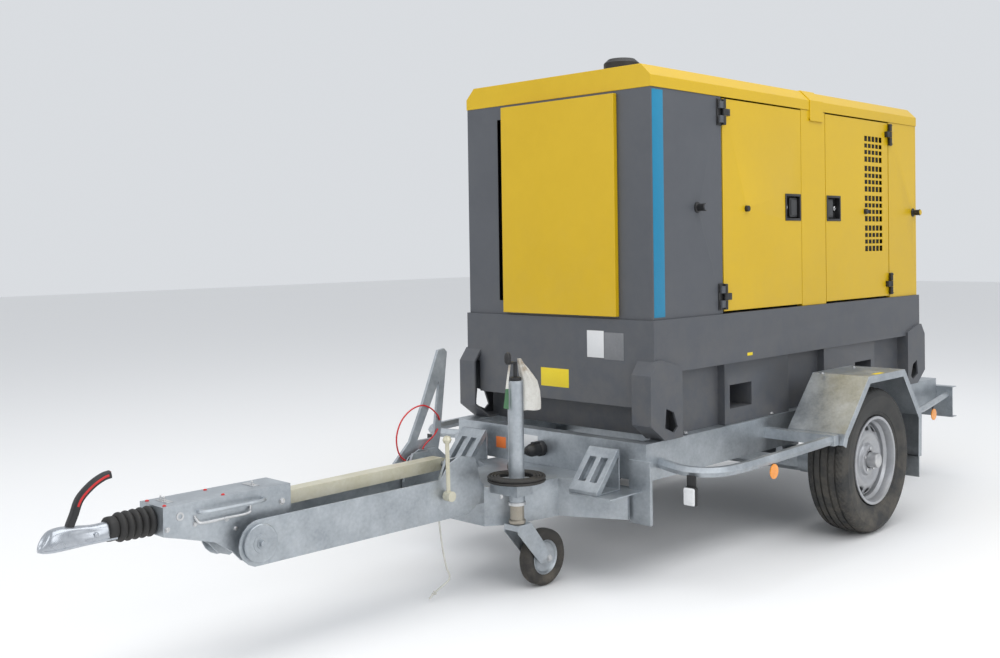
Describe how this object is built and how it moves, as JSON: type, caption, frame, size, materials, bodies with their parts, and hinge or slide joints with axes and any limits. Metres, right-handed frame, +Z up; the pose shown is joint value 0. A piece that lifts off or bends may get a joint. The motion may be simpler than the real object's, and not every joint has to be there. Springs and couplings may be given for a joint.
{
  "type": "towable diesel generator",
  "caption": "Silenced diesel generator in a steel canopy on a bunded base, carried on a single-axle road trailer with a height-adjustable towbar and jockey wheel.",
  "frame": {"origin": "on the ground, under the middle of the whole outfit", "axes": "+X along the trailer, from the coupling to the tail; -Y is the left (kerb) side seen in the direction of travel; +Z up"},
  "size_m": [4.841, 1.74, 2.1075],
  "materials": {
    "yellow_paint": "semi-gloss powder coat",
    "grey_paint": "semi-matt textured powder coat",
    "galvanised_steel": "hot-dip zinc, dull and mottled",
    "passivated_steel": "yellow-white passivated zinc",
    "rim_paint": "silver wheel enamel",
    "bright_steel": "greased tube",
    "exhaust_steel": "heat-stained steel",
    "tyre_rubber": "worn, dusty rubber",
    "black_rubber": "matt black rubber",
    "black_plastic": "moulded black plastic",
    "engine_paint": null,
    "red_plastic": "red plastic and cable sheath",
    "bag_cloth": "woven cotton",
    "rope_fibre": "braided cord"
  },
  "bodies": {
    "trailer": {"alternator": "engine_paint", "axle_beam": "galvanised_steel", "battery": "black_plastic", "cable_coil": "black_rubber", "cable_tail": "black_rubber", "centre_frame": "yellow_paint", "chassis_frame": "galvanised_steel", "control_cubicle": "grey_paint", "drawbar_base": "galvanised_steel", "engine_block": "engine_paint", "front_panel": "yellow_paint", "front_wall": "grey_paint", "fuel_tank": "black_plastic", "jockey_tube": "galvanised_steel", "left_mudguard": "galvanised_steel", "lighting_plug": "black_plastic", "lock_rope": "rope_fibre", "muffler": "exhaust_steel", "radiator": "engine_paint", "rear_light_bar": "galvanised_steel", "rear_wall": "yellow_paint", "right_mudguard": "galvanised_steel", "roof_front": "yellow_paint", "roof_rear": "yellow_paint", "skid_base": "grey_paint"},
    "left_front_door": {"left_front_door": "yellow_paint"},
    "left_front_door_latch": {"left_front_door_latch": "black_plastic"},
    "left_rear_door": {"left_rear_door": "yellow_paint"},
    "left_rear_door_latch": {"left_rear_door_latch": "black_plastic"},
    "right_front_door": {"right_front_door": "yellow_paint"},
    "right_front_door_latch": {"right_front_door_latch": "black_plastic"},
    "right_rear_door": {"right_rear_door": "yellow_paint"},
    "right_rear_door_latch": {"right_rear_door_latch": "black_plastic"},
    "control_door": {"control_door": "yellow_paint"},
    "stop_button": {"stop_button": "red_plastic"},
    "cooling_fan": {"cooling_fan": "black_plastic"},
    "exhaust_flap": {"exhaust_flap": "black_plastic"},
    "left_swing_arm": {"left_swing_arm": "galvanised_steel"},
    "left_wheel": {"left_rim": "rim_paint", "left_tyre": "tyre_rubber"},
    "right_swing_arm": {"right_swing_arm": "galvanised_steel"},
    "right_wheel": {"right_rim": "rim_paint", "right_tyre": "tyre_rubber"},
    "drawbar_arm": {"drawbar_arm": "galvanised_steel"},
    "height_link": {"height_link": "passivated_steel"},
    "overrun_housing": {"overrun_housing": "galvanised_steel", "bellows": "black_rubber"},
    "coupling": {"coupling_head": "galvanised_steel"},
    "coupling_handle": {"coupling_handle": "black_plastic"},
    "handbrake_lever": {"handbrake_lever": "galvanised_steel", "breakaway_cable": "red_plastic"},
    "height_lock_lever": {"height_lock_lever": "passivated_steel"},
    "jockey_inner": {"jockey_inner": "bright_steel"},
    "jockey_fork": {"jockey_fork": "galvanised_steel"},
    "jockey_wheel": {"jockey_wheel": "tyre_rubber"},
    "jockey_crank": {"jockey_crank": "black_plastic", "crank_bag": "bag_cloth"},
    "left_chock": {"left_chock": "galvanised_steel"},
    "right_chock": {"right_chock": "galvanised_steel"}
  },
  "joints": [
    {"name": "left_front_door_hinge", "type": "hinge", "parent": "trailer", "child": "left_front_door", "pos_m": [0.2655, -0.5195, 1.45], "axis": [0, 0, -1], "range_deg": [0, 165]},
    {"name": "left_front_door_latch_turn", "type": "hinge", "parent": "left_front_door", "child": "left_front_door_latch", "pos_m": [0.9011, -0.4945, 1.461], "axis": [0, 0, 1], "range_deg": [0, 35], "stiffness_Nm_per_rad": 0.6, "springref_deg": -17.19},
    {"name": "left_rear_door_hinge", "type": "hinge", "parent": "trailer", "child": "left_rear_door", "pos_m": [1.8205, -0.5195, 1.45], "axis": [0, 0, 1], "range_deg": [0, 165]},
    {"name": "left_rear_door_latch_turn", "type": "hinge", "parent": "left_rear_door", "child": "left_rear_door_latch", "pos_m": [1.1749, -0.4945, 1.461], "axis": [0, 0, -1], "range_deg": [0, 35], "stiffness_Nm_per_rad": 0.6, "springref_deg": -17.19},
    {"name": "right_front_door_hinge", "type": "hinge", "parent": "trailer", "child": "right_front_door", "pos_m": [0.2655, 0.5195, 1.45], "axis": [0, 0, 1], "range_deg": [0, 165]},
    {"name": "right_front_door_latch_turn", "type": "hinge", "parent": "right_front_door", "child": "right_front_door_latch", "pos_m": [0.9011, 0.4945, 1.461], "axis": [0, 0, -1], "range_deg": [0, 35], "stiffness_Nm_per_rad": 0.6, "springref_deg": -17.19},
    {"name": "right_rear_door_hinge", "type": "hinge", "parent": "trailer", "child": "right_rear_door", "pos_m": [1.8205, 0.5195, 1.45], "axis": [0, 0, -1], "range_deg": [0, 165]},
    {"name": "right_rear_door_latch_turn", "type": "hinge", "parent": "right_rear_door", "child": "right_rear_door_latch", "pos_m": [1.1749, 0.4945, 1.461], "axis": [0, 0, 1], "range_deg": [0, 35], "stiffness_Nm_per_rad": 0.6, "springref_deg": -17.19},
    {"name": "control_door_hinge", "type": "hinge", "parent": "trailer", "child": "control_door", "pos_m": [2.1625, 0.314, 1.51], "axis": [0, 0, 1], "range_deg": [0, 110]},
    {"name": "stop_button_press", "type": "slide", "parent": "trailer", "child": "stop_button", "axis": [-1, 0, 0], "range_m": [0, 0.004], "stiffness_N_per_m": 2000, "springref_m": -0.001},
    {"name": "fan_spin", "type": "hinge", "parent": "trailer", "child": "cooling_fan", "pos_m": [0.0915, 0, 1.27], "axis": [1, 0, 0], "continuous": true},
    {"name": "exhaust_flap_hinge", "type": "hinge", "parent": "trailer", "child": "exhaust_flap", "pos_m": [0.2145, -0.09, 2.0575], "axis": [0, 1, 0], "range_deg": [0, 75]},
    {"name": "left_axle_swing", "type": "hinge", "parent": "trailer", "child": "left_swing_arm", "pos_m": [0.8105, -0.562, 0.315], "axis": [0, -1, 0], "range_deg": [-9, 9], "stiffness_Nm_per_rad": 11240, "springref_deg": -9.17},
    {"name": "left_wheel_spin", "type": "hinge", "parent": "left_swing_arm", "child": "left_wheel", "pos_m": [0.9705, -0.755, 0.325], "axis": [0, 1, 0], "continuous": true},
    {"name": "right_axle_swing", "type": "hinge", "parent": "trailer", "child": "right_swing_arm", "pos_m": [0.8105, 0.562, 0.315], "axis": [0, -1, 0], "range_deg": [-9, 9], "stiffness_Nm_per_rad": 11240, "springref_deg": -9.17},
    {"name": "right_wheel_spin", "type": "hinge", "parent": "right_swing_arm", "child": "right_wheel", "pos_m": [0.9705, 0.755, 0.325], "axis": [0, 1, 0], "continuous": true},
    {"name": "drawbar_height", "type": "hinge", "parent": "trailer", "child": "drawbar_arm", "pos_m": [-0.9445, 0, 0.393], "axis": [0, 1, 0], "range_deg": [-6, 30]},
    {"name": "height_link_rear", "type": "hinge", "parent": "trailer", "child": "height_link", "pos_m": [-0.9055, 0, 0.493], "axis": [0, 1, 0], "range_deg": [-6, 30]},
    {"name": "housing_level", "type": "hinge", "parent": "drawbar_arm", "child": "overrun_housing", "pos_m": [-1.7695, 0, 0.385], "axis": [0, 1, 0], "range_deg": [-30, 6]},
    {"name": "overrun_travel", "type": "slide", "parent": "overrun_housing", "child": "coupling", "axis": [1, 0, 0], "range_m": [0, 0.07], "stiffness_N_per_m": 6000, "springref_m": -0.03, "deforming": ["bellows"]},
    {"name": "coupling_handle_lift", "type": "hinge", "parent": "coupling", "child": "coupling_handle", "pos_m": [-2.3145, 0, 0.546], "axis": [0, -1, 0], "range_deg": [0, 35], "stiffness_Nm_per_rad": 6, "springref_deg": -20.05},
    {"name": "handbrake_pull", "type": "hinge", "parent": "trailer", "child": "handbrake_lever", "pos_m": [-0.8295, 0.137, 0.5], "axis": [0, -1, 0], "range_deg": [0, 68]},
    {"name": "height_lock_turn", "type": "hinge", "parent": "drawbar_arm", "child": "height_lock_lever", "pos_m": [-0.9805, -0.126, 0.4], "axis": [0, 1, 0], "range_deg": [-45, 30]},
    {"name": "jockey_lift", "type": "slide", "parent": "trailer", "child": "jockey_inner", "axis": [0, 0, 1], "range_m": [-0.12, 0]},
    {"name": "jockey_swivel", "type": "hinge", "parent": "jockey_inner", "child": "jockey_fork", "pos_m": [-0.7055, -0.2185, 0.262], "axis": [0, 0, 1], "continuous": true},
    {"name": "jockey_wheel_spin", "type": "hinge", "parent": "jockey_fork", "child": "jockey_wheel", "pos_m": [-0.5695, -0.2185, 0.108], "axis": [0, 1, 0], "continuous": true},
    {"name": "jockey_crank_turn", "type": "hinge", "parent": "trailer", "child": "jockey_crank", "pos_m": [-0.7055, -0.2185, 0.8], "axis": [0, 0, 1], "continuous": true},
    {"name": "left_chock_slide", "type": "slide", "parent": "trailer", "child": "left_chock", "axis": [0, 0, 1], "range_m": [0, 0.25]},
    {"name": "right_chock_slide", "type": "slide", "parent": "trailer", "child": "right_chock", "axis": [0, 0, 1], "range_m": [0, 0.25]}
  ],
  "couplings": [
    {"joint": "height_link_rear", "follows": "drawbar_height", "ratio": 1},
    {"joint": "housing_level", "follows": "drawbar_height", "ratio": -1}
  ]
}
